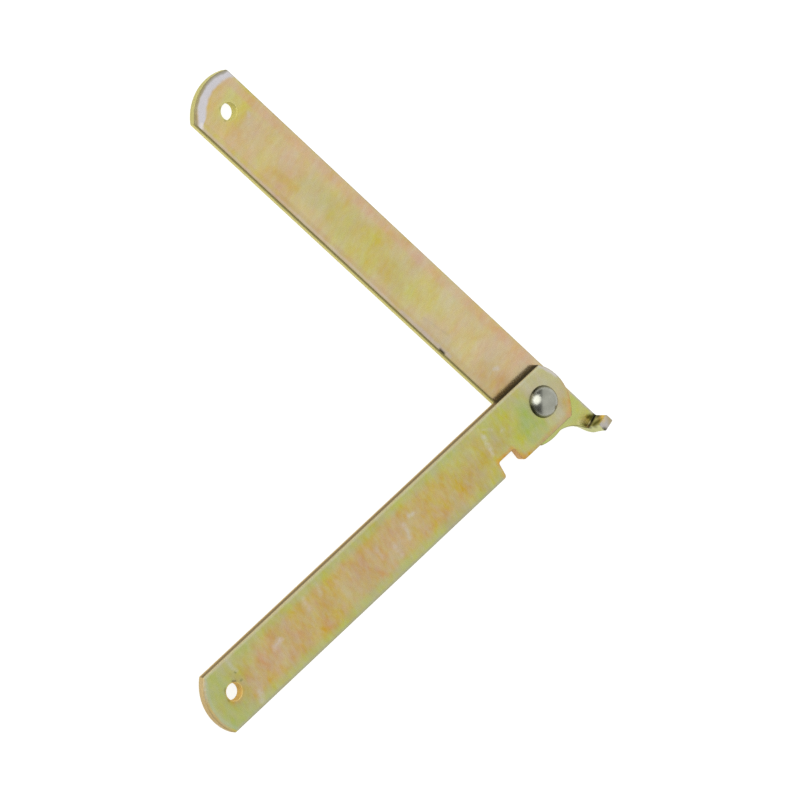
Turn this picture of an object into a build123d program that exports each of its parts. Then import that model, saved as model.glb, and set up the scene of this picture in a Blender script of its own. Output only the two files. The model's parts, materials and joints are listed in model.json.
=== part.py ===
from build123d import *
import math
import os

os.makedirs("parts", exist_ok=True)

# A two-arm lid stay stamped from flat steel strip. The notched arm lies on top of the latch arm
# and turns on one rivet. The latch arm runs on past the rivet as a tail, whose end is folded up
# into a lug. When the stay is straight the lug drops into the notch and carries the lid.

# ---- strip -------------------------------------------------------------------------------
strip_width = 20.0
strip_thickness = 3.0
upper_edge_radius = 0.4      # rounding of the upper edges
lower_edge_radius = 0.2      # and of the lower ones
end_corner_radius = 0.8      # where an end arc meets a long edge
end_radius = 15.0            # the curved cropping tool that parts every end
end_roll_width = 1.5         # that tool drags the upper face down, this far in from the end
end_roll_depth = 0.5

# ---- fixing holes ------------------------------------------------------------------------
hole_to_pivot = 140.0
fixing_hole_diameter = 5.3
hole_rim_roll = 0.3          # upper rim of each pierced hole

# ---- notched arm -------------------------------------------------------------------------
notched_far_end = 10.1       # fixing hole to the tip of the end arc
notched_far_offset = 1.0     # the end arc's centre lies this far towards the notched edge
notched_pivot_end = 9.6      # pivot to the tip of the other end arc
notch_near_gap = 1.9         # beside the seated lug, towards the pivot
notch_far_gap = 2.15         # and on its other side
notch_floor_gap = 0.4        # from the lug's wall to the notch floor when straight
notch_side_lean = 4.5        # degrees that each side opens outwards
tooth_corner_radius = 1.5
shoulder_corner_radius = 1.0
notch_floor_radius = 0.7

# ---- latch arm ---------------------------------------------------------------------------
latch_far_end = 11.2
latch_far_offset = -1.0      # towards the tail edge
latch_hole_offset = -0.5     # the hole was pierced a little towards the tail edge
latch_pivot_end = 12.05
latch_pivot_offset = 1.5
tail_width = 5.7             # at the start of the fold
tail_root_height = 11.85     # where the tail leaves the end arc, from the tail's straight edge
tail_sweep_radius = 11.8     # hollow curve from there to the fold
tail_root_radius = 3.0       # softens the corner between end arc and tail

# ---- lug ---------------------------------------------------------------------------------
lug_inner_face = 19.3        # pivot to the lug's inner face
lug_fold_radius = 0.5        # inside of the fold
lug_proud = 3.0              # stands this far above the notched arm
lug_root_width = 4.8         # at the end of the fold
lug_tip_width = 4.1
lug_steps = 4                # sections along the fold, and along the wall

# ---- rivet -------------------------------------------------------------------------------
rivet_shank_diameter = 6.0
rivet_head_diameter = 10.2
rivet_head_height = 3.8
rivet_countersink_depth = 1.4
running_clearance = 0.05     # radial, shank in the notched arm
set_clearance = 0.02         # radial, shank set in the latch arm
head_play = 0.05             # under the rivet head

# ---- pose --------------------------------------------------------------------------------
included_angle = 76.1        # between the two arms as modelled

half_width = strip_width / 2
fold_x = -(lug_inner_face - lug_fold_radius)
same_place = 0.01            # lengths that differ by less count as equal
roll_overrun = 0.01          # share of its width by which an end roll's ellipse passes the rim


def nearest(shape, x, y):
    """The corner of a flat outline that lies closest to (x, y)."""
    return shape.vertices().sort_by_distance((x, y, 0))[0]


def blank(outline):
    """The outline stamped from the sheet, with its rim rounded above and below."""
    plate = extrude(outline, strip_thickness)
    for end, radius in ((-1, upper_edge_radius), (0, lower_edge_radius)):
        rim = plate.faces().sort_by(Axis.Z)[end].outer_wire().edges()
        plate = fillet(rim.filter_by(lambda edge: edge.center().X > fold_x + same_place), radius)
    return plate


def strip_outline(far_end, far_offset, pivot_end, pivot_offset):
    """A length of strip, pivot at the origin, with both ends cropped to the end arc."""
    far_centre = (hole_to_pivot + far_end - end_radius, far_offset)
    pivot_centre = (end_radius - pivot_end, pivot_offset)
    middle = (far_centre[0] + pivot_centre[0]) / 2
    span = far_centre[0] - pivot_centre[0]
    band = Pos(middle, 0) * Rectangle(span + 4 * end_radius, strip_width)
    reach = Pos(middle, 0) * Rectangle(span, strip_width)
    reach += Pos(*far_centre) * Circle(end_radius)
    reach += Pos(*pivot_centre) * Circle(end_radius)
    return band & reach


def arc_end(centre_x, offset, side, direction):
    """Where the end arc meets the long edge at y = side."""
    return centre_x + direction * math.sqrt(end_radius**2 - (side - offset) ** 2), side


def rolled_end(centre_x, offset, direction):
    """What the cropping tool drags down at an end: a half ring, hollow underneath, that
    steepens to the rim without quite reaching the upright side."""
    inner = end_radius - end_roll_width
    outer = end_radius + end_roll_width
    reach = end_roll_width * (1 + roll_overrun)
    with BuildSketch(Plane.XZ) as profile:
        with BuildLine():
            roll = EllipticalCenterArc((inner, -end_roll_depth), reach, end_roll_depth)
            Polyline(roll @ 1, (inner, end_roll_depth), (outer, end_roll_depth),
                     (outer, -end_roll_depth), roll @ 0)
        make_face()
    ring = revolve(profile.sketch, Axis.Z, 180)
    turn = -90 if direction > 0 else 90
    return Pos(centre_x, offset, strip_thickness) * Rot(0, 0, turn) * ring


def drill(plate, x, y):
    """Pierces a fixing hole and rolls over its upper rim."""
    plate -= Pos(x, y, 0) * Cylinder(
        fixing_hole_diameter / 2, strip_thickness, align=(Align.CENTER, Align.CENTER, Align.MIN)
    )
    rims = plate.edges().filter_by(GeomType.CIRCLE)
    rim = rims.sort_by_distance((x + fixing_hole_diameter / 2, y, strip_thickness))[0]
    return fillet(rim, hole_rim_roll)


def notched_arm():
    """The upper arm, lower face on z = 0, pivot at the origin, running along +X."""
    far_centre = hole_to_pivot + notched_far_end - end_radius
    pivot_centre = end_radius - notched_pivot_end
    outline = strip_outline(notched_far_end, notched_far_offset, notched_pivot_end, 0)

    depth = lug_root_width + notch_floor_gap
    floor_y = half_width - depth
    notch_start = lug_inner_face - notch_near_gap
    notch_end = lug_inner_face + strip_thickness + notch_far_gap
    lean = depth * math.tan(math.radians(notch_side_lean))
    notch = Polygon(
        (notch_start, floor_y),
        (notch_end, floor_y),
        (notch_end + 2 * lean, half_width + depth),
        (notch_start - 2 * lean, half_width + depth),
        align=None,
    )
    outline -= notch
    outline = fillet(
        [nearest(outline, notch_start, floor_y), nearest(outline, notch_end, floor_y)],
        notch_floor_radius,
    )
    outline = fillet(nearest(outline, notch_start - lean, half_width), tooth_corner_radius)
    outline = fillet(nearest(outline, notch_end + lean, half_width), shoulder_corner_radius)
    corners = [
        nearest(outline, *arc_end(centre, offset, side, direction))
        for centre, offset, direction in (
            (far_centre, notched_far_offset, 1),
            (pivot_centre, 0, -1),
        )
        for side in (-half_width, half_width)
    ]
    outline = fillet(corners, end_corner_radius)

    plate = blank(outline)
    plate -= rolled_end(far_centre, notched_far_offset, 1)
    plate -= rolled_end(pivot_centre, 0, -1)
    plate = drill(plate, hole_to_pivot, 0)
    pivot_radius = rivet_shank_diameter / 2 + running_clearance
    return plate - Cylinder(pivot_radius, 3 * strip_thickness)


def sheet_section(width):
    """The sheet cut across: `width` wide from x = 0, with its rounded edges."""
    section = Rectangle(width, strip_thickness, align=(Align.MIN, Align.MIN))
    upper = [nearest(section, x, strip_thickness) for x in (0, width)]
    section = fillet(upper, upper_edge_radius)
    lower = [nearest(section, x, 0) for x in (0, width)]
    return fillet(lower, lower_edge_radius)


def folded_lug(tail_end):
    """The tail's end, folded up square to the arm and narrowing all the way to its tip. It
    starts on the flat face where the tail stops."""
    outer = lug_fold_radius + strip_thickness
    fold_length = math.radians(90) * (lug_fold_radius + strip_thickness / 2)
    wall = strip_thickness + lug_proud - lug_fold_radius
    fold_taper = (lug_root_width - tail_width) / fold_length
    wall_taper = (lug_tip_width - lug_root_width) / wall
    curve = (wall_taper - fold_taper) / (fold_length + wall)

    def section(travel, angle, rise):
        s, c = math.sin(math.radians(angle)), math.cos(math.radians(angle))
        corner = (fold_x - outer * s, -half_width, outer - outer * c + rise)
        plane = Plane(origin=corner, x_dir=(0, 1, 0), z_dir=(c, 0, -s))
        width = tail_width + fold_taper * travel + curve * travel * (travel - fold_length)
        return plane * sheet_section(width)

    steps = [(step + 1) / lug_steps for step in range(lug_steps)]
    fold = loft([tail_end] + [section(part * fold_length, part * 90, 0) for part in steps])
    fold_end = fold.faces().sort_by(Axis.Z)[-1]
    leg = loft([fold_end] + [section(fold_length + part * wall, 90, part * wall) for part in steps])
    return fold + leg


def latch_arm():
    """The lower arm with its tail and folded lug, lower face on z = 0, running along +X."""
    far_centre = hole_to_pivot + latch_far_end - end_radius
    pivot_centre = end_radius - latch_pivot_end
    outline = strip_outline(latch_far_end, latch_far_offset, latch_pivot_end, latch_pivot_offset)

    root_y = tail_root_height - half_width
    root_reach = math.sqrt(end_radius**2 - (root_y - latch_pivot_offset) ** 2)
    root = (pivot_centre - root_reach, root_y)
    fold_corner = (fold_x, tail_width - half_width)
    with BuildSketch() as tail:
        with BuildLine():
            RadiusArc(root, fold_corner, tail_sweep_radius)
            Polyline(fold_corner, (fold_x, -half_width), (0, -half_width), (0, root_y), root)
        make_face()
    outline += tail.sketch
    outline = fillet(nearest(outline, *root), tail_root_radius)
    corners = [
        nearest(outline, *arc_end(far_centre, latch_far_offset, side, 1))
        for side in (-half_width, half_width)
    ]
    corners.append(nearest(outline, *arc_end(pivot_centre, latch_pivot_offset, half_width, -1)))
    outline = fillet(corners, end_corner_radius)

    plate = blank(outline)
    plate -= rolled_end(far_centre, latch_far_offset, 1)
    plate += folded_lug(plate.faces().sort_by(Axis.X)[0])
    plate = drill(plate, hole_to_pivot, latch_hole_offset)
    pivot_radius = rivet_shank_diameter / 2 + set_clearance
    plate -= Cylinder(pivot_radius, 3 * strip_thickness)
    sink = Cone(
        pivot_radius + rivet_countersink_depth,
        pivot_radius,
        rivet_countersink_depth,
        align=(Align.CENTER, Align.CENTER, Align.MIN),
    )
    return plate - sink


def rivet():
    """Domed head, shank through both arms, and a tail set flush in the lower arm's back."""
    shank = rivet_shank_diameter / 2
    rim = rivet_head_diameter / 2
    under_head = 2 * strip_thickness + head_play
    dome_radius = (rim**2 + rivet_head_height**2) / (2 * rivet_head_height)
    top = under_head + rivet_head_height
    middle_angle = math.asin(rim / dome_radius) / 2
    dome_middle = (
        dome_radius * math.sin(middle_angle),
        top - dome_radius * (1 - math.cos(middle_angle)),
    )
    with BuildSketch(Plane.XZ) as profile:
        with BuildLine():
            Polyline(
                (0, top),
                (0, 0),
                (shank + rivet_countersink_depth, 0),
                (shank, rivet_countersink_depth),
                (shank, under_head),
                (rim, under_head),
            )
            ThreePointArc((rim, under_head), dome_middle, (0, top))
        make_face()
    return revolve(profile.sketch, Axis.Z)


# The frame: origin at the notched arm's fixing hole, on that arm's lower face. +X runs to the
# pivot, +Z points up through the rivet's dome.
pivot = Pos(hole_to_pivot, 0, 0)
latch_place = pivot * Pos(0, 0, -strip_thickness) * Rot(0, 0, 180 - included_angle)

pieces = {
    "notched_arm": pivot * Rot(0, 0, 180) * notched_arm(),
    "latch_arm": latch_place * latch_arm(),
    "rivet": latch_place * rivet(),
}

for name, piece in pieces.items():
    piece.label = name
    export_step(piece, f"parts/{name}.step")
    size = piece.bounding_box().size
    print(f"{name}: {piece.volume:.1f} mm3, {size.X:.2f} x {size.Y:.2f} x {size.Z:.2f} mm")
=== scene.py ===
# %% [markdown]
# # A lid stay, dressed and lit
#
# A lid stay is two strips of steel that turn on one rivet and hold a lid open. The solids
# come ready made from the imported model, at their real size and in their real place, so this
# lesson is about what comes after the shapes: the finish of the metal, the studio and the
# camera. Everything is in metres, and the strips lie flat in the plane of X and Y.

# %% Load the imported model
import json
from math import radians

import bpy
from mathutils import Matrix, Vector


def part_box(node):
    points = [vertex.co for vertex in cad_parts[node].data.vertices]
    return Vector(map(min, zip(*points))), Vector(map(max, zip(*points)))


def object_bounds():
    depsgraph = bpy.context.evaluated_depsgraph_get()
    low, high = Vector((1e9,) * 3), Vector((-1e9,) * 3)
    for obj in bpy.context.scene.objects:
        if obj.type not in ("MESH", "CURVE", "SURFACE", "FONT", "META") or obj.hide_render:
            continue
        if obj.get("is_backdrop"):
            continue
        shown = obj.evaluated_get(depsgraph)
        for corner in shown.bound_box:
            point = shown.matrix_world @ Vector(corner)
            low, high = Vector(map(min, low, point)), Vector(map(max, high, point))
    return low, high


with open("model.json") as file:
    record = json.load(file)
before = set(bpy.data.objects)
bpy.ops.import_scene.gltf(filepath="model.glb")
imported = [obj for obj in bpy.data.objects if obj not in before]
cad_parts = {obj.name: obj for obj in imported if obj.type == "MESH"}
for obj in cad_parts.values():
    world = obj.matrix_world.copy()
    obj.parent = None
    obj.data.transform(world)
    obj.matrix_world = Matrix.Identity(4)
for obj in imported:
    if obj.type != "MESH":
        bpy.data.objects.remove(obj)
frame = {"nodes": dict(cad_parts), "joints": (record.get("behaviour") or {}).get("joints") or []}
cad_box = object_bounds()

MM = 0.001   # a millimetre, in metres

print("pieces:", sorted(frame["nodes"]))
print("box in mm:", [[round(number / MM, 2) for number in corner] for corner in cad_box])

# %% [markdown]
# ## Two small helpers
#
# Every finish below is a graph of nodes. One function adds a node, gives it its settings and
# joins its sockets, so that a graph reads from top to bottom like a recipe. A second one
# turns a colour as it is written on a paint card into the linear numbers that Blender mixes.

# %% Helpers for nodes and colours
def add(tree, kind, sockets=None, **settings):
    """Adds a node of that kind. sockets gives its inputs a value, or another node's output."""
    node = tree.nodes.new(kind)
    for name, value in settings.items():
        setattr(node, name, value)
    for name, value in (sockets or {}).items():
        if isinstance(value, bpy.types.NodeSocket):
            tree.links.new(value, node.inputs[name])
        else:
            node.inputs[name].default_value = value
    return node


def linear(card):
    """The linear colour of an sRGB hex value, such as "c8b482"."""
    levels = [int(card[place:place + 2], 16) / 255 for place in (0, 2, 4)]
    return tuple(level / 12.92 if level <= 0.04045 else ((level + 0.055) / 1.055) ** 2.4
                 for level in levels) + (1.0,)


print("card c8b482 is", [round(part, 3) for part in linear("c8b482")])

# %% [markdown]
# ## Marks on plated steel
#
# Both strips are zinc plated and then dipped in a yellow chromate bath. The film is thinner
# than a soap bubble's and it colours the light in the same way, so its hue drifts from green
# through yellow to pink wherever the bath ran faster or slower: near edges, round holes and
# where the strips touched each other. A single noise can't do that. The drift is drawn with
# three marks, each a node group that takes a colour and gives it back changed: a patch, a
# band and a streak. A group is used because each mark is laid dozens of times, and its
# inputs keep their names. All three end in the same way, so that end is a function.

# %% A group with named inputs
# The Mix node keeps one set of sockets for each kind of data. These are its colour ones.
FACTOR, UNDER, OVER, MIXED = 0, 6, 7, 2
KINDS = {"colour": "NodeSocketColor", "number": "NodeSocketFloat", "place": "NodeSocketVector"}


def group_of(name, inputs):
    """A new mark: its tree, the sockets of its inputs, and its end node."""
    tree = bpy.data.node_groups.new(name, "ShaderNodeTree")
    inputs = {"Colour": "colour", "Tint": "colour", "Strength": "number", **inputs}
    for label, kind in inputs.items():
        tree.interface.new_socket(label, in_out="INPUT", socket_type=KINDS[kind])
    tree.interface.new_socket("Colour", in_out="OUTPUT", socket_type=KINDS["colour"])
    return tree, add(tree, "NodeGroupInput").outputs, add(tree, "NodeGroupOutput")


def lay_tint(tree, given, end, mask):
    """Finishes a mark: Tint goes over Colour where mask is 1, by Strength."""
    share = add(tree, "ShaderNodeMath", {0: mask, 1: given["Strength"]}, operation="MULTIPLY")
    mix = add(tree, "ShaderNodeMix",
              {FACTOR: share.outputs[0], UNDER: given["Colour"], OVER: given["Tint"]},
              data_type="RGBA")
    tree.links.new(mix.outputs[MIXED], end.inputs["Colour"])


print("a mark's inputs can be:", ", ".join(KINDS))

# %% [markdown]
# ### The patch
#
# A patch is a cloud of colour with a place of its own, such as the green beside the rivet. It
# could be painted, but a formula stays sharp at any size. The way from its centre is divided
# by its reach, so the rim of the ellipse is always at 1, and Softness says how far to each
# side of that rim the colour fades.

# %% The patch
patch, given, end = group_of("patch", {"Place": "place", "Centre": "place", "Reach": "place",
                                       "Softness": "number"})
away = add(patch, "ShaderNodeVectorMath", {0: given["Place"], 1: given["Centre"]},
           operation="SUBTRACT")
share = add(patch, "ShaderNodeVectorMath", {0: away.outputs[0], 1: given["Reach"]},
            operation="DIVIDE")
radius = add(patch, "ShaderNodeVectorMath", {0: share.outputs[0]}, operation="LENGTH")
outer = add(patch, "ShaderNodeMath", {0: 1.0, 1: given["Softness"]}, operation="ADD")
inner = add(patch, "ShaderNodeMath", {0: 1.0, 1: given["Softness"]}, operation="SUBTRACT")
inside = add(patch, "ShaderNodeMapRange",
             {"Value": radius.outputs["Value"], "From Min": outer.outputs[0],
              "From Max": inner.outputs[0]}, interpolation_type="SMOOTHSTEP")
lay_tint(patch, given, end, inside.outputs[0])
print("patch:", len(patch.nodes), "nodes")

# %% [markdown]
# ### The band
#
# A band lies between two values of anything that can be measured: millimetres across the
# strip, height, or how far a face leans. It is used for rims and for whole faces, such as a
# sheared side. One smooth step rises where the band starts, a second one rises where it
# ends, and their difference is the band.

# %% The band
band, given, end = group_of("band", {"Measure": "number", "From": "number", "To": "number",
                                     "Edge": "number"})
steps = []
for limit in ("From", "To"):
    low = add(band, "ShaderNodeMath", {0: given[limit], 1: given["Edge"]}, operation="SUBTRACT")
    high = add(band, "ShaderNodeMath", {0: given[limit], 1: given["Edge"]}, operation="ADD")
    steps.append(add(band, "ShaderNodeMapRange",
                     {"Value": given["Measure"], "From Min": low.outputs[0],
                      "From Max": high.outputs[0]}, interpolation_type="SMOOTHSTEP").outputs[0])
between = add(band, "ShaderNodeMath", {0: steps[0], 1: steps[1]}, operation="SUBTRACT")
lay_tint(band, given, end, between.outputs[0])
print("band:", len(band.nodes), "nodes")

# %% [markdown]
# ### The streak
#
# A streak follows a straight line, for a scratch or a worn rim. A dot product finds the
# nearest point of the line, and the distance from that point fades the colour out over
# Width. A real scuff skips over the metal's grain, so Broken lets a noise of about a
# millimetre eat gaps into it.

# %% The streak
streak, given, end = group_of("streak", {"Place": "place", "Start": "place", "End": "place",
                                         "Width": "number", "Broken": "number"})
gone = add(streak, "ShaderNodeVectorMath", {0: given["Place"], 1: given["Start"]},
           operation="SUBTRACT")
run = add(streak, "ShaderNodeVectorMath", {0: given["End"], 1: given["Start"]},
          operation="SUBTRACT")
along = add(streak, "ShaderNodeVectorMath", {0: gone.outputs[0], 1: run.outputs[0]},
            operation="DOT_PRODUCT")
whole = add(streak, "ShaderNodeVectorMath", {0: run.outputs[0], 1: run.outputs[0]},
            operation="DOT_PRODUCT")
part = add(streak, "ShaderNodeMath", {0: along.outputs["Value"], 1: whole.outputs["Value"]},
           operation="DIVIDE", use_clamp=True)
foot = add(streak, "ShaderNodeVectorMath", {0: run.outputs[0], "Scale": part.outputs[0]},
           operation="SCALE")
miss = add(streak, "ShaderNodeVectorMath", {0: gone.outputs[0], 1: foot.outputs[0]},
           operation="DISTANCE")
drawn = add(streak, "ShaderNodeMapRange",
            {"Value": miss.outputs["Value"], "From Min": given["Width"], "From Max": 0.0},
            interpolation_type="SMOOTHSTEP")
crumb_size = 1.1
crumbs = add(streak, "ShaderNodeTexNoise",
             {"Vector": given["Place"], "Scale": 1 / crumb_size, "Detail": 2.0})
kept = add(streak, "ShaderNodeMapRange",
           {"Value": crumbs.outputs["Fac"], "From Min": 0.38, "From Max": 0.58},
           interpolation_type="SMOOTHSTEP")
broken = add(streak, "ShaderNodeMath", {0: drawn.outputs[0], 1: kept.outputs[0]},
             operation="MULTIPLY")
either = add(streak, "ShaderNodeMix",
             {0: given["Broken"], 2: drawn.outputs[0], 3: broken.outputs[0]})
lay_tint(streak, given, end, either.outputs[0])
print("streak:", len(streak.nodes), "nodes")

# %% [markdown]
# ### Rows of marks
#
# A strip carries dozens of marks, and each goes over the ones before it, as coats do. They
# are written as rows of a table, so that one can be moved or toned down by its numbers, and
# three short functions lay the rows one after another.

# %% Laying marks
def mark(tree, kind, colour, card, strength, **sockets):
    """The colour after one mark of that kind. card is a hex value or a colour socket."""
    tint = linear(card) if isinstance(card, str) else card
    laid = {"Colour": colour, "Tint": tint, "Strength": strength, **sockets}
    return add(tree, "ShaderNodeGroup", laid, node_tree=kind).outputs["Colour"]


def patches(tree, place, colour, rows):
    """Lays patches. A row is centre and reach in mm, softness, card, strength."""
    for centre, reach, softness, card, strength in rows:
        colour = mark(tree, patch, colour, card, strength, Place=place,
                      Centre=(*centre, 0), Reach=(*reach, 1), Softness=softness)
    return colour


def bands(tree, colour, rows):
    """Lays bands. A row is measure, where it starts and stops, edge, card, strength.

    A start or stop that the measure never reaches, such as 2 for a normal, leaves that end open.
    """
    for measure, start, stop, edge, card, strength in rows:
        colour = mark(tree, band, colour, card, strength, Measure=measure,
                      From=start, To=stop, Edge=edge)
    return colour


def streaks(tree, place, colour, rows, broken=0.0):
    """Lays streaks. A row is start and stop in mm, width in mm, card, strength."""
    for start, stop, width, card, strength in rows:
        colour = mark(tree, streak, colour, card, strength, Place=place,
                      Start=(*start, 0)[:3], End=(*stop, 0)[:3], Width=width, Broken=broken)
    return colour


print("marks:", [kind.name for kind in (patch, band, streak)])

# %% [markdown]
# ## Where a point of a strip is
#
# A mark needs a place that turns with its strip. The Mapping node, set to Texture, moves the
# origin to the rivet, turns the axes along the strip and divides by a millimetre, so a point
# reads as so many millimetres along the strip, across it and up. Two noises then push that
# place about by a millimetre or two, so that no mark keeps the clean outline of its formula.
# The normal is turned in the same way, which tells a sheared side from a rolled face. The
# function adds these nodes to a strip's own tree and gives back their sockets by name.

# %% Places and directions on a strip
pivot = Vector(frame["joints"][0]["pos_m"])
# Size and push in mm of two noises. The first gives the near place, both give the soft one.
WANDERS = ((1.8, 0.8), (7.0, 2.4))


def strip_places(tree, turn, seed):
    """Sockets of a strip that lies at that turn round the rivet, in mm from the rivet."""
    texture = add(tree, "ShaderNodeTexCoord")
    solid = add(tree, "ShaderNodeMapping",
                {"Vector": texture.outputs["Object"], "Location": pivot, "Rotation": (0, 0, turn),
                 "Scale": (MM, MM, MM)}, vector_type="TEXTURE").outputs[0]
    cut = add(tree, "ShaderNodeSeparateXYZ", {0: solid}).outputs
    flat = add(tree, "ShaderNodeCombineXYZ", {"X": cut["X"], "Y": cut["Y"]}).outputs[0]
    pushed = [flat]
    for size, push in WANDERS:
        wander = add(tree, "ShaderNodeTexNoise",
                     {"Vector": solid, "W": seed + size, "Scale": 1 / size, "Detail": 2.0},
                     noise_dimensions="4D")
        centred = add(tree, "ShaderNodeVectorMath",
                      {0: wander.outputs["Color"], 1: (0.5, 0.5, 0.5)}, operation="SUBTRACT")
        pushed.append(add(tree, "ShaderNodeVectorMath",
                          {0: centred.outputs[0], 1: (push, push, 0), 2: pushed[-1]},
                          operation="MULTIPLY_ADD").outputs[0])
    near, soft = pushed[1:]
    soft_across = add(tree, "ShaderNodeSeparateXYZ", {0: soft}).outputs["Y"]
    off_middle = add(tree, "ShaderNodeMath", {0: soft_across}, operation="ABSOLUTE").outputs[0]
    # The speckle is longer across a strip than along it, so its place is squeezed that way.
    grained = add(tree, "ShaderNodeMapping",
                  {"Vector": solid, "Scale": (1.0, 0.55, 1.0)}).outputs[0]
    turned = add(tree, "ShaderNodeMapping",
                 {"Vector": texture.outputs["Normal"], "Rotation": (0, 0, -turn)}).outputs[0]
    way = add(tree, "ShaderNodeSeparateXYZ", {0: turned}).outputs
    level = add(tree, "ShaderNodeMath", {0: way["Z"]}, operation="ABSOLUTE").outputs[0]
    rim = add(tree, "ShaderNodeMath", {0: way["Z"], 1: way["Y"]}, operation="MULTIPLY").outputs[0]
    return {"solid": solid, "grained": grained, "flat": flat, "near": near, "soft": soft,
            "along": cut["X"], "across": cut["Y"], "up": cut["Z"], "off_middle": off_middle,
            "endways": way["X"], "sideways": way["Y"], "level": level, "rim": rim}


print("the rivet stands at", [round(number / MM, 2) for number in pivot], "mm")

# %% [markdown]
# ## The clouds and grains of the film
#
# Under the marks lies a ground that drifts slowly through a few close colours, and over them
# a speckle from the crystals of the zinc. Both are noises with a size in millimetres. The
# speckle turns hue, saturation and value a little, each by its own channel of one noise,
# because a speckle that only darkens looks like dirt.

# %% A material, its clouds and its grains
def new_material(name):
    """An empty node material and its tree."""
    material = bpy.data.materials.new(name)
    material.use_nodes = True
    material.node_tree.nodes.clear()
    return material, material.node_tree


def clouds(tree, place, size, cards, seed, spread=0.14):
    """A ground of clouds of that size in mm, which drifts evenly through the cards' colours."""
    cloud = add(tree, "ShaderNodeTexNoise",
                {"Vector": place, "W": seed, "Scale": 1 / size, "Detail": 3.0, "Roughness": 0.55},
                noise_dimensions="4D")
    ramp = add(tree, "ShaderNodeValToRGB", {"Fac": cloud.outputs["Fac"]})
    stops = ramp.color_ramp.elements
    for number, card in enumerate(cards):
        position = 0.5 - spread + 2 * spread * number / (len(cards) - 1)
        stop = stops[number] if number < 2 else stops.new(position)
        stop.position, stop.color = position, linear(card)
    return ramp.outputs["Color"]


def grains(tree, place, colour, rows, seed):
    """Lays speckles. A row is size in mm, and the swing in saturation, hue and value."""
    for size, fuller, redder, brighter in rows:
        grain = add(tree, "ShaderNodeTexNoise",
                    {"Vector": place, "W": seed + size, "Scale": 1 / size, "Detail": 1.0},
                    noise_dimensions="4D")
        channels = add(tree, "ShaderNodeSeparateColor", {0: grain.outputs["Color"]}).outputs
        tuned = {"Color": colour}
        for socket, channel, middle, swing in (("Saturation", 0, 1.0, fuller),
                                               ("Hue", 1, 0.5, redder),
                                               ("Value", 2, 1.0, brighter)):
            tuned[socket] = add(tree, "ShaderNodeMapRange",
                                {"Value": channels[channel], "From Min": 0.3, "From Max": 0.7,
                                 "To Min": middle - swing, "To Max": middle + swing}).outputs[0]
        colour = add(tree, "ShaderNodeHueSaturation", tuned).outputs[0]
    return colour


CLOUD_SIZE = 9.0
print("clouds of", CLOUD_SIZE, "mm have a noise scale of", round(1 / CLOUD_SIZE, 3))

# %% [markdown]
# ## The yellow zinc finish
#
# Zinc plate on rolled strip is satin, not polished: its grain scatters the reflection, over a
# slow waviness that the rolling mill left. The Principled shader does this with metallic at
# nearly one and a fairly low roughness, and the colour comes from the film. The rims and the
# sheared sides were torn, not rolled, so they are much rougher than the faces.

# %% The plate's shader
# The real grain is a few hundredths of a millimetre. It is drawn coarser so that it shows.
GRAIN_SIZE, WAVE_SIZE = 0.45, 9.0


def satin_zinc(tree, at, colour, seed):
    """Grain, waviness and shader of the plate, for a colour that is finished."""
    grain = add(tree, "ShaderNodeTexNoise",
                {"Vector": at["solid"], "W": seed, "Scale": 1 / GRAIN_SIZE, "Detail": 2.0},
                noise_dimensions="4D")
    wave = add(tree, "ShaderNodeTexNoise",
               {"Vector": at["solid"], "W": seed, "Scale": 1 / WAVE_SIZE, "Detail": 1.0},
               noise_dimensions="4D")
    rolled = add(tree, "ShaderNodeBump",
                 {"Height": wave.outputs["Fac"], "Strength": 0.5, "Distance": 0.25 * MM})
    pitted = add(tree, "ShaderNodeBump",
                 {"Height": grain.outputs["Fac"], "Normal": rolled.outputs[0], "Strength": 0.35,
                  "Distance": 0.03 * MM})
    rough = add(tree, "ShaderNodeMapRange",
                {"Value": grain.outputs["Fac"], "From Min": 0.3, "From Max": 0.7,
                 "To Min": 0.22, "To Max": 0.30})
    torn = add(tree, "ShaderNodeMapRange",
               {"Value": at["level"], "From Min": 0.98, "From Max": 0.80, "To Max": 0.55})
    rougher = add(tree, "ShaderNodeMath", {0: rough.outputs[0], 1: torn.outputs[0]})
    metal = add(tree, "ShaderNodeBsdfPrincipled",
                {"Base Color": colour, "Metallic": 0.92, "Roughness": rougher.outputs[0],
                 "Normal": pitted.outputs[0]})
    add(tree, "ShaderNodeOutputMaterial", {"Surface": metal.outputs[0]})


print("plate: grain of", GRAIN_SIZE, "mm on waves of", WAVE_SIZE, "mm")

# %% [markdown]
# ## The notched strip
#
# This strip came out of the bath greener than its partner: green and yellow near both long
# edges, tan along the middle, and green again round the rivet and at the far end. The clouds
# make the ground, one band makes the green edges, and patches lay the rest.

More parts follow.
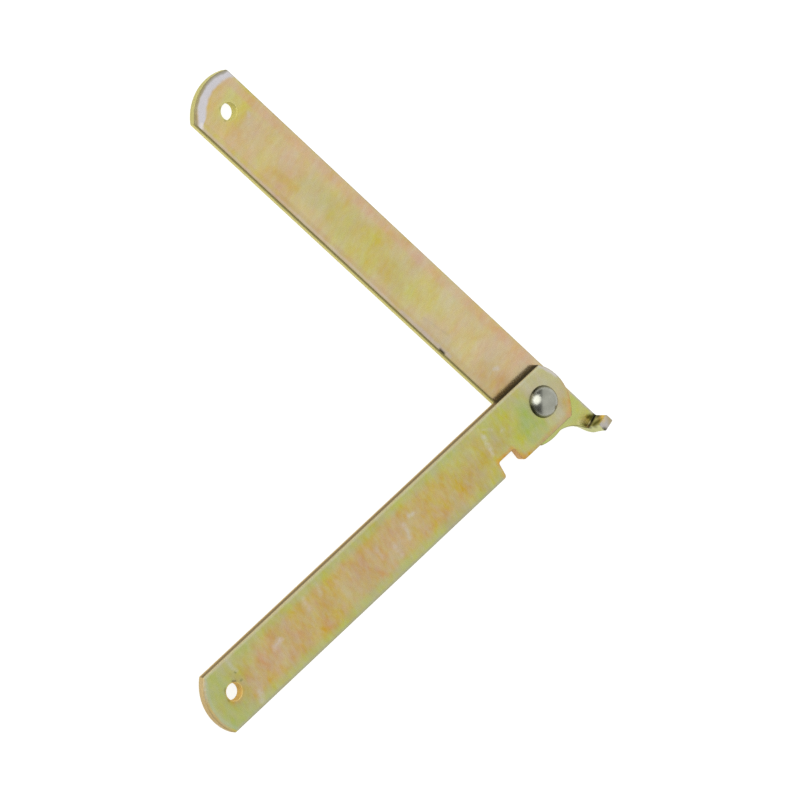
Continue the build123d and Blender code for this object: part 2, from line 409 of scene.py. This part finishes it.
# %% Colour drift of the notched strip
notched_zinc, tree = new_material("yellow_zinc_notched_strip")
at = strip_places(tree, turn=radians(180.0), seed=3.0)
colour = clouds(tree, at["soft"], CLOUD_SIZE, ("bea268", "bfa66a", "bca876"), seed=1.0)
colour = bands(tree, colour, [(at["off_middle"], 6.8, 30.0, 1.7, "b1b274", 0.85)])
colour = patches(tree, at["soft"], colour, (
    ((8, 0), (27, 16), 0.40, "b6b36e", 0.95),
    ((36, 1), (14, 7), 0.50, "bbb064", 0.55),
    ((52, 1), (20, 5), 0.50, "c0a568", 0.55),
    ((100, 0.5), (34, 5.5), 0.45, "c0a678", 0.60),
    ((73, 1), (10, 5), 0.50, "c0a47e", 0.60),
    ((126, 0), (10, 6), 0.50, "bfa580", 0.60),
    ((7, 1.5), (5, 8), 0.45, "a3b168", 0.85),
    ((13, -3), (4, 3), 0.50, "bbb763", 0.60),
    ((9, 7.5), (8, 2.5), 0.50, "b7b388", 0.50),
    ((133, 2), (5, 3), 0.50, "bfae8c", 0.60),
    ((-5, -2), (9, 13), 0.35, "bbb28a", 0.90),
    ((-7, 6), (3, 4), 0.50, "bca46a", 0.60),
    ((147, -1), (11, 14), 0.35, "a6ae72", 0.90),
    ((135, -7), (9, 5), 0.50, "b0b472", 0.60)))
print("notched strip: clouds and patches,", len(tree.nodes), "nodes")

# %% [markdown]
# ### Rims of the notched strip
#
# The film grows thicker where the bath drains last, so the long edges turn grey-green, the
# cropped end has a tan rim, and the notch, the corner beside the rivet and the screw hole
# turn orange. Bands follow the long edges. The cropped end is part of a circle, so its band
# measures the distance from that circle's middle, held at nothing until the strip's last
# millimetres. Straight runs of rim are streaks.

# %% Rims of the notched strip
PIVOT_TO_HOLE = 140.0
RIM = 9.1   # the rims start here, on a strip that is 10 mm wide on each side of its middle


def end_arc(tree, at, middle, begins, full):
    """Distance in mm from that middle, faded in along the strip between begins and full."""
    reached = add(tree, "ShaderNodeVectorMath", {0: at["near"], 1: middle}, operation="DISTANCE")
    beyond = add(tree, "ShaderNodeMapRange",
                 {"Value": at["along"], "From Min": begins, "From Max": full, "To Max": 1.0},
                 interpolation_type="SMOOTHSTEP")
    return add(tree, "ShaderNodeMath", {0: reached.outputs["Value"], 1: beyond.outputs[0]},
               operation="MULTIPLY").outputs[0]


arc = end_arc(tree, at, middle=(134.8, 1.0, 0.0), begins=PIVOT_TO_HOLE, full=146.0)
colour = bands(tree, colour, (
    (at["across"], RIM, 12.0, 0.35, "a9a787", 0.80),
    (at["across"], -12.0, -RIM, 0.35, "c2bd96", 0.80),
    (arc, 13.4, 14.6, 0.5, "adb294", 0.60),
    (arc, 14.5, 18.0, 0.3, "c2aa72", 0.85)))
colour = streaks(tree, at["near"], colour, (
    # the edge between the rivet and the notch, and then round the notch
    ((-5, 9.2), (14, 9.7), 1.8, "bea074", 0.65),
    ((14, 10), (16.8, 8.8), 2.0, "c69f50", 0.85),
    ((16.8, 8.8), (18.2, 4.6), 2.0, "c69f50", 0.85),
    ((18.2, 4.5), (24.4, 4.5), 1.6, "c69f50", 0.80),
    ((24.4, 4.5), (25.2, 10), 1.7, "c69f50", 0.80),
    # the rounded corners beside the rivet: one has a pale painted highlight, the other is orange
    ((-9.0, -3.6), (-6.2, -9.6), 1.3, "d0cacf", 0.75),
    ((-9.6, -1.0), (-8.8, 4.2), 1.2, "c6a874", 0.60),
    ((-8.8, 4.2), (-5, 9.2), 1.6, "c6a070", 0.70),
    # round the screw hole, with a dark line on its far rim
    ((139.4, 0.9), (140.2, 1.1), 4.5, "bf9a54", 0.95),
    ((142.9, 0.9), (141.9, -2.4), 0.9, "746a44", 0.65)))
print("notched strip: rims,", len(tree.nodes), "nodes")

# %% [markdown]
# ### Scuffs and specks of the notched strip
#
# Strips are plated in a turning barrel, where they knock into each other. That leaves short
# pale scuffs, most of them across the strip, and a few dark specks beside the screw hole.
# Broken streaks draw both, faintly, because a scuff rubs the film and doesn't cut it.

# %% Scuffs and specks of the notched strip
colour = streaks(tree, at["near"], colour, (
    ((24.7, 1), (24, -5), 1.6, "c8c4b0", 0.60),
    ((24, -5), (24.6, -8), 1.1, "c8c4b0", 0.30),
    ((20, -4.8), (23, -7), 0.8, "c4c0a8", 0.35),
    ((17.2, -2.5), (18, -2.3), 1.2, "c8c4b4", 0.40),
    ((63.8, 2.5), (63.2, -1.8), 1.5, "c8c0b0", 0.55),
    ((58.5, -2.4), (60.2, -2.9), 1.2, "cbc3b8", 0.55),
    ((69.4, 5), (69.8, 0.5), 1.4, "c8bcae", 0.50),
    ((75, 1), (75.4, -2.2), 1.4, "c8bcae", 0.40),
    ((98.8, -4), (98.6, -7), 1.5, "c8bcae", 0.35),
    ((104.8, -3), (104.4, -6.5), 1.6, "c8bcae", 0.40),
    ((119, -2.2), (121, -1.6), 1.9, "cbbdb2", 0.55),
    ((117.6, -1.8), (118.4, -2.2), 1.1, "d0c4c0", 0.45),
    ((134.2, 8.2), (133.2, 5.6), 1.8, "c2beb2", 0.55),
    ((135.6, -4.4), (136.6, -9), 1.1, "c0c0b0", 0.45),
    ((146.4, -8.6), (149.6, -4), 1.4, "c8c6c0", 0.55),
    # the specks
    ((135.8, -1.2), (136.1, -1.2), 0.6, "5c6430", 0.75),
    ((138.0, -2.3), (138.5, -2.7), 0.9, "5c4c38", 0.85),
    ((136.2, -4.1), (136.3, -4.4), 0.5, "6c7440", 0.70)), broken=0.45)
print("notched strip: scuffs and specks,", len(tree.nodes), "nodes")

# %% [markdown]
# ### Grains, sides and hole of the notched strip
#
# Four sizes of speckle go over everything so far. The finest on the real plate is smaller
# than a tenth of a millimetre, and here it is 0.6 mm so that it shows. Then the faces that
# aren't rolled get colours of their own, because sheared steel takes the film differently.
# Bands of the normal pick out the rounded rims, the long sides and the faces that look along
# the strip, which are the cropped end and one wall of the notch. One long side is painted
# darker than the other, which is painted shade. It is painted nearly black where it stands
# over the other strip beside the rivet, which is painted shade too. A band of the distance
# from the screw hole's middle picks out the wall of the hole.

# %% Grains, sides and hole of the notched strip
HOLE_WALL = 2.9   # the hole's radius is 2.65 mm, so all that is nearer than this is its wall

colour = grains(tree, at["grained"], colour, (
    (9.0, 0.10, 0.012, 0.026), (3.6, 0.12, 0.013, 0.027),
    (1.3, 0.11, 0.009, 0.024), (0.6, 0.03, 0.003, 0.012)), seed=5.0)
# one long side, painted darker than the other as painted shade, and nearly black beside the
# rivet, where it stands over the other strip, as painted shade too
side_with_painted_shade = bands(tree, linear("86724e"), (
    (at["up"], -2.0, 1.0, 0.5, "c8ac72", 0.90),
    (at["along"], -9.0, 13.5, 0.8, "2a2216", 0.92)))
notch_and_end = bands(tree, linear("dab47c"), [(at["along"], 100.0, 200.0, 1.0, "c9b382", 1.0)])
hole = (PIVOT_TO_HOLE, 0.0, 0.0)
from_hole = add(tree, "ShaderNodeVectorMath", {0: at["flat"], 1: hole}, operation="DISTANCE")
colour = bands(tree, colour, (
    (at["level"], 0.30, 0.92, 0.06, "9a9266", 0.40),
    (at["sideways"], -2.0, -0.75, 0.15, side_with_painted_shade, 0.95),
    (at["rim"], -1.0, -0.25, 0.1, "cbbf98", 0.90),
    (at["sideways"], 0.8, 2.0, 0.15, "a79c68", 0.90),
    (at["endways"], 0.5, 2.0, 0.2, notch_and_end, 0.90),
    (from_hole.outputs["Value"], -1.0, HOLE_WALL, 0.3, "e2c474", 0.90)))
satin_zinc(tree, at, colour, seed=7.0)
frame["nodes"]["notched_arm"].material_slots[0].material = notched_zinc
print("notched strip: finished,", len(tree.nodes), "nodes")

# %% [markdown]
# ## The latch strip
#
# The lower strip is pinker and paler, with a yellow stretch half way along. It lies at its
# own turn round the rivet. The joint's upper limit is the strips folded onto each other, so
# that limit is also the angle between them at rest.

# %% Colour drift of the latch strip
latch_zinc, tree = new_material("yellow_zinc_latch_strip")
opening = frame["joints"][0]["range_deg"][1]
at = strip_places(tree, turn=radians(180.0 - opening), seed=13.0)
colour = clouds(tree, at["soft"], CLOUD_SIZE, ("c8b680", "c9b686", "cab28a"), seed=11.0)
colour = patches(tree, at["soft"], colour, (
    ((76, 1), (26, 7), 0.45, "c1b56e", 0.90),
    ((102, 0), (7, 4), 0.50, "bdb284", 0.60),
    ((17, 6), (8, 6), 0.50, "c1a270", 0.90),
    ((20, -4), (8, 5), 0.50, "c8b08a", 0.60),
    ((140, -4), (5, 8), 0.45, "c6c168", 0.85),
    ((42, 7), (9, 3), 0.50, "c2b492", 0.60),
    ((50, -2.5), (14, 3), 0.50, "cabc96", 0.50),
    ((70, -5), (6, 3), 0.50, "c9bb8a", 0.50),
    ((53, 0), (7, 5), 0.50, "c7bb70", 0.60),
    ((146.5, 1), (2.6, 6), 0.50, "cdae6c", 0.75),
    ((134, 5), (8, 4), 0.50, "cdb084", 0.60),
    ((112, 3.5), (5, 1.5), 0.60, "c4ae66", 0.50)))
colour = bands(tree, colour, (
    (at["across"], -9.2, -6.4, 0.9, "cbae86", 0.80),
    (at["across"], 7.4, 9.4, 0.6, "bfa878", 0.60),
    (at["along"], -60.0, -8.0, 1.5, "b8bc68", 0.95),
    (at["across"], 9.4, 12.0, 0.2, "a4946a", 0.60)))
print("latch strip: at", opening, "degrees to the other,", len(tree.nodes), "nodes")

# %% [markdown]
# ### Rubbed rims of the latch strip
#
# The far end was cropped with a dull punch, which rolled its edge over and rubbed the film
# thin, so a lavender rim follows the arc, with a dark line outside it. The long edge is
# rubbed too, and a dark mark on it is painted shade, standing for a small dent. The arc is
# drawn as on the other strip, with a white painted highlight at its end.

# %% Rubbed rims of the latch strip
colour = streaks(tree, at["near"], colour, (
    # the long edge, scuffs, and the edges of the middle and of the tail
    ((34, 9.1), (56, 9.1), 1.2, "bcaea4", 0.75),
    ((56, 9.2), (150, 9.2), 0.8, "c8b8a8", 0.55),
    ((18.2, 1.2), (18.9, 1.9), 1.3, "c8bcb4", 0.60),
    ((134, -4), (134.5, -4.4), 1.2, "c8bcb4", 0.45),
    ((38, 4.2), (49, 5.6), 0.5, "b8a888", 0.45),
    ((112, 8.1), (145, 8.3), 1.3, "cabb6c", 0.60),
    ((-8, -9.9), (-18, -9.9), 0.9, "b9b2aa", 0.80),
    # the screw hole's rim, and the painted shade of the dent
    ((142.5, -0.8), (141.4, -2.5), 0.8, "a09a70", 0.60),
    ((139.4, 2.2), (142.7, 0.6), 0.9, "726e3c", 0.70),
    ((36.6, 9.7), (38.0, 9.6), 1.1, "2c2616", 1.0)))
rubbed = end_arc(tree, at, middle=(136.2, -2.1, 0.0), begins=141.0, full=145.0)
dark_line = end_arc(tree, at, middle=(136.2, -1.0, 0.0), begins=141.0, full=145.0)
colour = bands(tree, colour, (
    (rubbed, 11.75, 14.60, 0.60, "cbcad2", 0.90),
    (dark_line, 14.15, 16.00, 0.40, "878160", 0.68)))
# a painted highlight: a white glint at the end of the arc
colour = streaks(tree, at["near"], colour, [((143.9, 9.3), (144.7, 8.6), 1.0, "e4dcd8", 0.70)])
print("latch strip: rims,", len(tree.nodes), "nodes")

# %% [markdown]
# ### Grains, sides and hole of the latch strip
#
# The speckle is quieter than on the other strip. The sides are greener and paler. One long
# side is painted paler still, which is painted light. It is darker near the top and along the
# rounded rim above it, which is painted shade. The hole is half a millimetre off the strip's
# middle line, as a quick punch leaves it.

# %% Grains, sides and hole of the latch strip
colour = grains(tree, at["grained"], colour, (
    (9.0, 0.10, 0.009, 0.024), (3.6, 0.10, 0.009, 0.024),
    (1.3, 0.07, 0.006, 0.020), (0.6, 0.03, 0.003, 0.012)), seed=15.0)
# one long side, painted paler as painted light, and darker near its top as painted shade
side_with_painted_shade = bands(tree, linear("d8d08c"), (
    (at["up"], -1.1, 1.0, 0.4, "928852", 0.90),
    (at["along"], -60.0, -14.0, 2.0, "d8daa8", 0.90)))
hole = (PIVOT_TO_HOLE, -0.5, 0.0)
from_hole = add(tree, "ShaderNodeVectorMath", {0: at["flat"], 1: hole}, operation="DISTANCE")
colour = bands(tree, colour, (
    (at["level"], 0.30, 0.92, 0.06, "9a9266", 0.40),
    (at["level"], -1.0, 0.30, 0.2, "c6c080", 0.90),
    (at["sideways"], 0.85, 2.0, 0.1, side_with_painted_shade, 0.95),
    # the rounded rim above that side, darkened as painted shade
    (at["rim"], 0.38, 1.0, 0.06, "8a8050", 0.85),
    (from_hole.outputs["Value"], -1.0, HOLE_WALL, 0.3, "d6cf84", 0.90)))
print("latch strip: grains, sides and hole,", len(tree.nodes), "nodes")

# %% [markdown]
# ### The folded lug
#
# Beyond the rivet the strip narrows to a tail, and the tail's end is folded up square into
# the lug that drops into the notch. The bath drains badly out of the fold, so the lug is
# blotched: yellow and olive on its wall, and pale grey on its sheared tip. The inside of the
# fold is painted nearly black, which is painted shade. Streaks whose ends have a height as
# well draw these marks, because the wall stands upright and a place that is flat can't tell
# its points apart.

# %% The folded lug
# What is higher than this, in mm above the face where the strips meet, is the sheared tip.
LUG_TIP = 5.7

colour = bands(tree, colour, [(at["up"], LUG_TIP, LUG_TIP + 5.0, 0.15, "b4acae", 0.85)])
colour = streaks(tree, at["solid"], colour, (
    # the wall
    ((-19.3, -9.5, 4.4), (-19.3, -8.0, 4.9), 2.0, "e8c65e", 0.90),
    ((-19.3, -7.4, 4.2), (-19.3, -6.3, 2.8), 2.0, "605a0c", 0.90),
    ((-19.3, -9.2, 3.2), (-19.3, -8.6, 3.0), 1.1, "a87c3c", 0.70),
    # painted shade: nearly black along the inside of the fold
    ((-19.0, -10.3, 0.1), (-19.5, -5.9, 0.5), 1.5, "16120a", 1.0),
    ((-19.3, -10.3, 1.8), (-19.3, -9.4, 2.0), 1.3, "4a3a14", 0.90),
    # the tail beside the fold
    ((-17.9, -8.3, 0.0), (-17.5, -7.6, 0.0), 1.3, "5c5818", 0.85),
    ((-18.4, -6.5, 0.0), (-17.4, -5.9, 0.0), 1.3, "eedc9c", 0.90),
    ((-16.9, -5.2, 0.0), (-16.0, -4.3, 0.0), 1.6, "d8d298", 0.80),
    ((-18.4, -5.0, 0.0), (-19.2, -5.2, 0.2), 0.9, "7a5c38", 0.80),
    # the tip
    ((-20.4, -10.2, 6.0), (-22.3, -8.8, 6.0), 1.7, "aa9c74", 0.85),
    ((-22.0, -6.1, 6.0), (-21.5, -5.9, 6.0), 1.2, "4e4c3a", 0.90)))
satin_zinc(tree, at, colour, seed=17.0)
frame["nodes"]["latch_arm"].material_slots[0].material = latch_zinc
print("latch strip: finished,", len(tree.nodes), "nodes")

# %% [markdown]
# ## The rivet
#
# The rivet is plain steel, set cold with a snap tool that leaves its dome smooth. It has no
# film, so it needs one mark only: the steep foot of the dome is darkened, which is painted
# shade and a painted dark reflection. Its grain is shallower than the plate's, and the
# roughness is low enough for a window to show in it as a bright spot.

# %% Plain steel for the rivet
# The real grain is finer than a tenth of a millimetre. It is drawn coarser so that it shows.
STEEL_GRAIN = 0.5
FOOT_RISE = 0.44   # the upward part of the dome's normal, below which it is the foot

rivet_steel, tree = new_material("plain_steel_rivet")
texture = add(tree, "ShaderNodeTexCoord")
place = add(tree, "ShaderNodeMapping",
            {"Vector": texture.outputs["Object"], "Location": pivot, "Scale": (MM, MM, MM)},
            vector_type="TEXTURE").outputs[0]
rise = add(tree, "ShaderNodeSeparateXYZ", {0: texture.outputs["Normal"]}).outputs["Z"]
colour = clouds(tree, place, 2.0, ("98998e", "9e9f94", "a4a59a"), seed=21.0)
# the foot of the dome: painted shade and a painted dark reflection
colour = bands(tree, colour, [(rise, -2.0, FOOT_RISE, 0.14, "3c3628", 0.80)])
grain = add(tree, "ShaderNodeTexNoise",
            {"Vector": place, "W": 22.0, "Scale": 1 / STEEL_GRAIN, "Detail": 2.0},
            noise_dimensions="4D")
pitted = add(tree, "ShaderNodeBump",
             {"Height": grain.outputs["Fac"], "Strength": 0.25, "Distance": 0.02 * MM})
rough = add(tree, "ShaderNodeMapRange",
            {"Value": grain.outputs["Fac"], "From Min": 0.3, "From Max": 0.7,
             "To Min": 0.25, "To Max": 0.32})
metal = add(tree, "ShaderNodeBsdfPrincipled",
            {"Base Color": colour, "Metallic": 1.0, "Roughness": rough.outputs[0],
             "Normal": pitted.outputs[0]})
add(tree, "ShaderNodeOutputMaterial", {"Surface": metal.outputs[0]})
frame["nodes"]["rivet"].material_slots[0].material = rivet_steel
print("rivet:", len(tree.nodes), "nodes")

# %% [markdown]
# ## The studio
#
# Metal shows what is around it, so the studio is part of the finish. The sky has a white half
# on one side, like a lit wall, and is white overhead. Its other half is dim, like the rest of
# the room, and that is what darkens one flank of the dome and one side of the lug. The change
# between them is soft, so that the flat strips don't mirror an edge.

# %% Sky
LIT_WALL = (0.670, -0.528, 0.522)   # the way to the middle of the white half
DIM = 0.12

world = bpy.data.worlds.new("studio")
bpy.context.scene.world = world
world.use_nodes = True
tree = world.node_tree
tree.nodes.clear()
direction = add(tree, "ShaderNodeTexCoord").outputs["Generated"]
height = add(tree, "ShaderNodeSeparateXYZ", {0: direction}).outputs["Z"]
toward = add(tree, "ShaderNodeVectorMath", {0: direction, 1: LIT_WALL}, operation="DOT_PRODUCT")
halves = add(tree, "ShaderNodeMapRange",
             {"Value": toward.outputs["Value"], "From Min": -0.02, "From Max": 0.24,
              "To Min": DIM, "To Max": 1.0}, interpolation_type="SMOOTHSTEP")
overhead = add(tree, "ShaderNodeMapRange",
               {"Value": height, "From Min": 0.75, "From Max": 1.0},
               interpolation_type="SMOOTHSTEP")
lit = add(tree, "ShaderNodeMath", {0: halves.outputs[0], 1: overhead.outputs[0]},
          operation="MAXIMUM")
sky = add(tree, "ShaderNodeBackground", {"Color": (1, 1, 1, 1), "Strength": lit.outputs[0]})
add(tree, "ShaderNodeOutputWorld", {"Surface": sky.outputs[0]})
print("sky: white on one half and overhead,", DIM, "on the other half")

# %% [markdown]
# ### The table
#
# The strips lie on a white table, one large square just under the lower strip. Plain white
# paint would render as pale grey, and more light on it would bleach the metal. So the camera,
# mirrors and glass see grey paint with a glow of its own, which comes out white and still
# keeps the strips' shadow, and all other light meets plain white paint.

# %% Table
HALF_TABLE = 6.0   # metres, far past what any view of the stay takes in
latch_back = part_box("latch_arm")[0][2]
table_top = latch_back - 0.01 * MM

mesh = bpy.data.meshes.new("table")
mesh.from_pydata([(x * HALF_TABLE, y * HALF_TABLE, table_top)
                  for x, y in ((-1, -1), (1, -1), (1, 1), (-1, 1))], [], [(0, 1, 2, 3)])
table = bpy.data.objects.new("table", mesh)
bpy.context.scene.collection.objects.link(table)
table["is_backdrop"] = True

white_table, tree = new_material("white_table")
ray = add(tree, "ShaderNodeLightPath").outputs
shown = ray["Is Camera Ray"]
for kind in ("Is Glossy Ray", "Is Transmission Ray"):
    shown = add(tree, "ShaderNodeMath", {0: shown, 1: ray[kind]}, operation="MAXIMUM").outputs[0]
paint = add(tree, "ShaderNodeBsdfDiffuse", {"Color": linear("f4f4f2")})
dim_paint = add(tree, "ShaderNodeBsdfDiffuse", {"Color": linear("9a9a9a")})
glow = add(tree, "ShaderNodeEmission", {"Color": linear("ffffff"), "Strength": 0.82})
backed = add(tree, "ShaderNodeAddShader", {0: dim_paint.outputs[0], 1: glow.outputs[0]})
surface = add(tree, "ShaderNodeMixShader",
              {0: shown, 1: paint.outputs[0], 2: backed.outputs[0]})
add(tree, "ShaderNodeOutputMaterial", {"Surface": surface.outputs[0]})
mesh.materials.append(white_table)
print("table top at", round(table_top / MM, 2), "mm")

# %% [markdown]
# ### The window
#
# One lamp hangs in the dim half of the room: a large oval, low on the left, like a window
# with a blind drawn over it. It is the bright spot on the dome, and its size makes the edges
# of that spot and of the shadows soft. A small lamp would leave a hard point instead.

# %% Window
WINDOW_AWAY = 1.2   # metres from the rivet
to_window = Vector((-0.535, 0.712, 0.455)).normalized()

lamp = bpy.data.lights.new("window", "AREA")
lamp.shape, lamp.size, lamp.size_y, lamp.energy = "ELLIPSE", 1.45, 1.2, 13.0
window = bpy.data.objects.new("window", lamp)
window.location = pivot + to_window * WINDOW_AWAY
window.rotation_euler = to_window.to_track_quat("Z", "Y").to_euler()
bpy.context.scene.collection.objects.link(window)
print("window:", WINDOW_AWAY, "m from the rivet,", lamp.energy, "W")

# %% [markdown]
# ## The camera
#
# The camera looks down on the stay from its open side and is held at a slant, so both strips,
# the notch and the lug are seen at once. It stands well back with a long lens, which keeps
# the strips' edges nearly parallel. Its place and the ways of its right and upper edges say
# all there is to say, and a matrix takes them as they are, with no angles to work out.

# %% Camera
LENS, SENSOR = 217.2, 36.0   # millimetres, as a maker of lenses gives them
stand = Vector((-507.57, 500.98, 1254.28)) * MM
right = Vector((0.6699, -0.5276, 0.5224)).normalized()
up = Vector((0.6166, 0.7873, 0.0043))
up = (up - right * up.dot(right)).normalized()
back = right.cross(up)

optics = bpy.data.cameras.new("camera")
optics.lens, optics.sensor_width, optics.clip_end = LENS, SENSOR, 50.0
camera = bpy.data.objects.new("camera", optics)
turned = Matrix((right, up, back)).transposed().to_4x4()
camera.matrix_world = Matrix.Translation(stand) @ turned
bpy.context.scene.collection.objects.link(camera)
bpy.context.scene.camera = camera
bpy.context.scene.view_settings.view_transform = "Standard"
print("camera:", round((stand - pivot).length, 3), "m from the rivet, lens", LENS, "mm")

# %% [markdown]
# ## The size and the end
#
# A finish changes nothing that the part measures. The growth of the dressed part's box over
# the box of the imported model is printed, and here the two are the same, since no piece was
# added.

# %% Sizes and the end of the script
visual_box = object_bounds()
growth = [round((new - old) / MM, 3) for old, new in zip(cad_box[1], visual_box[1])]
print("grown by", growth, "mm")
